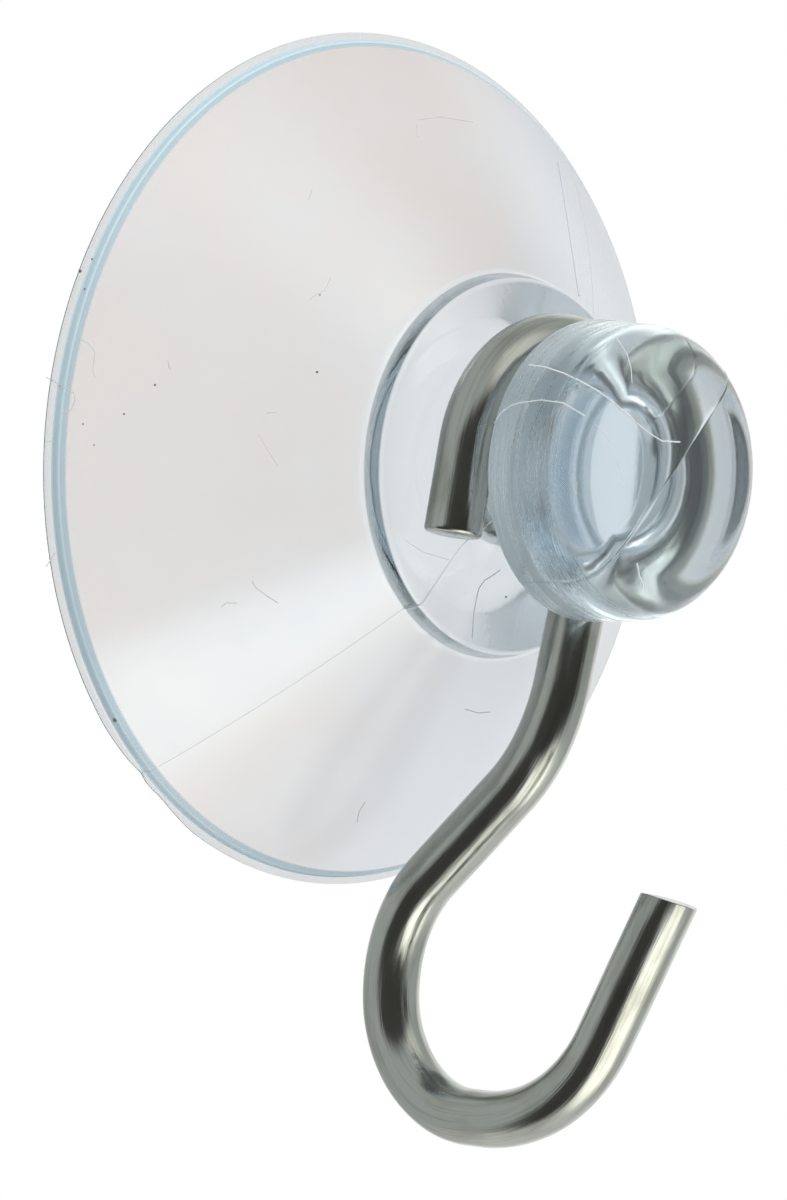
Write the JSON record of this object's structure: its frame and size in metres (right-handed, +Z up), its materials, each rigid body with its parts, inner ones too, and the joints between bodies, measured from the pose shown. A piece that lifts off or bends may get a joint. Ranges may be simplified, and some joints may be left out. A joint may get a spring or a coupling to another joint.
{
  "type": "suction cup hook",
  "caption": "Clear soft plastic suction cup with a mushroom knob, and a bent wire hook that swivels in the groove behind the knob.",
  "frame": {"origin": "on the wall plane, at the centre of the cup's round mouth", "axes": "+Y points into the wall, along the cup's axis; -Y is the way the knob points; +Z is up and the hook hangs to -Z"},
  "size_m": [0.03, 0.0162, 0.0388],
  "materials": {
    "clear_pvc": "glossy, clear with a faint blue tint",
    "plated_wire": "drawn wire, nickel plated, half bright"
  },
  "bodies": {
    "cup": {"suction_cup": "clear_pvc"},
    "hook": {"wire_hook": "plated_wire"}
  },
  "joints": [
    {"name": "hook_swivel", "type": "hinge", "parent": "cup", "child": "hook", "pos_m": [0, -0.00966, 0], "axis": [0, 1, 0], "continuous": true}
  ]
}
